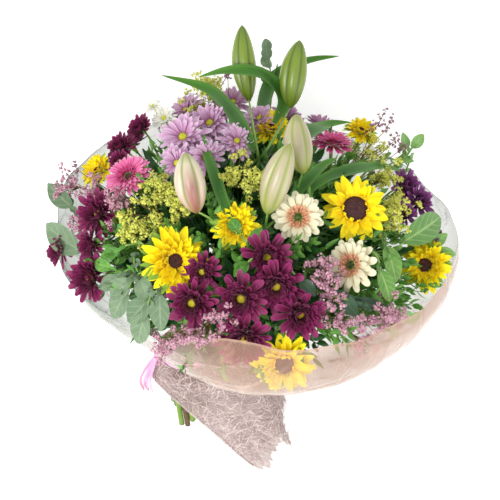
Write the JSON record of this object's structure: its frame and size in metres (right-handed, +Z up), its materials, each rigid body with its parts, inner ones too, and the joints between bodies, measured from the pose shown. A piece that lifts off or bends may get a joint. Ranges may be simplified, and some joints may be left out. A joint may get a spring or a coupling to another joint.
{
  "type": "mixed flower bouquet",
  "caption": "Hand-tied mixed bouquet lying on its side: sunflowers, gerberas, chrysanthemums, lily buds and filler in clear film and pink sisal web, tied with raffia.",
  "frame": {"origin": "centre of the footprint, on the surface that the bouquet lies on", "axes": "+Z up from the surface, +Y along the surface from the cut stems towards the flower heads, +X to the right of someone looking along +Y"},
  "size_m": [0.511, 0.5932, 0.4205],
  "materials": {
    "sunflower_petal": "soft matt petals",
    "gerbera_pink": "soft matt petals",
    "gerbera_magenta": "soft matt petals",
    "gerbera_cream": "soft matt petals",
    "chrysanthemum_burgundy": "velvety petals",
    "chrysanthemum_lilac": "soft matt petals",
    "chrysanthemum_white": "soft matt petals",
    "statice_yellow": "dry papery florets",
    "statice_pink": "dry papery florets",
    "lily_bud_green": "smooth waxy bud",
    "lily_bud_cream": "smooth waxy bud",
    "lily_leaf": "smooth satin leaf",
    "eucalyptus_leaf": "waxy bloom",
    "box_leaf": "satin leaf",
    "dark_leaf": "satin leaf",
    "green_stem": "fresh green stem",
    "clear_film": "clear gloss film",
    "sisal": "open web of loose fibres",
    "raffia": "matt ribbon of fibre",
    "twine": "twisted natural twine"
  },
  "bodies": {
    "root": {"binding_twine": "twine", "box_leaves_centre": "box_leaf", "box_leaves_left": "box_leaf", "burgundy_chrysanthemum_back": "chrysanthemum_burgundy", "burgundy_chrysanthemum_centre": "chrysanthemum_burgundy", "burgundy_chrysanthemum_front": "chrysanthemum_burgundy", "burgundy_chrysanthemum_left": "chrysanthemum_burgundy", "burgundy_chrysanthemum_right": "chrysanthemum_burgundy", "clear_film": "clear_film", "dark_blades_front": "dark_leaf", "eucalyptus_back": "eucalyptus_leaf", "eucalyptus_front": "eucalyptus_leaf", "eucalyptus_left": "eucalyptus_leaf", "eucalyptus_right": "eucalyptus_leaf", "gerbera_1_head": "gerbera_pink", "gerbera_1_stem": "green_stem", "gerbera_2_head": "gerbera_magenta", "gerbera_2_stem": "green_stem", "gerbera_3_head": "gerbera_cream", "gerbera_3_stem": "green_stem", "gerbera_4_head": "gerbera_cream", "gerbera_4_stem": "green_stem", "lilac_chrysanthemum_back": "chrysanthemum_lilac", "lilac_chrysanthemum_left": "chrysanthemum_lilac", "lily_bud_back_1": "lily_bud_green", "lily_bud_back_2": "lily_bud_green", "lily_bud_centre_1": "lily_bud_cream", "lily_bud_centre_2": "lily_bud_cream", "lily_bud_centre_3": "lily_bud_cream", "lily_stem_back": "lily_leaf", "lily_stem_centre": "lily_leaf", "pink_statice_centre": "statice_pink", "pink_statice_front": "statice_pink", "pink_statice_left": "statice_pink", "pink_statice_right": "statice_pink", "raffia_tie": "raffia", "salal_right": "dark_leaf", "sisal_web": "sisal", "sunflower_1_head": "sunflower_petal", "sunflower_1_stem": "green_stem", "sunflower_2_head": "sunflower_petal", "sunflower_2_stem": "green_stem", "sunflower_3_head": "sunflower_petal", "sunflower_3_stem": "green_stem", "sunflower_4_head": "sunflower_petal", "sunflower_4_stem": "green_stem", "sunflower_5_head": "sunflower_petal", "sunflower_5_stem": "green_stem", "sunflower_6_head": "sunflower_petal", "sunflower_6_stem": "green_stem", "sunflower_7_head": "sunflower_petal", "sunflower_7_stem": "green_stem", "sunflower_8_head": "sunflower_petal", "sunflower_8_stem": "green_stem", "white_chrysanthemum": "chrysanthemum_white", "yellow_statice_centre": "statice_yellow", "yellow_statice_left": "statice_yellow", "yellow_statice_right": "statice_yellow"}
  },
  "joints": []
}
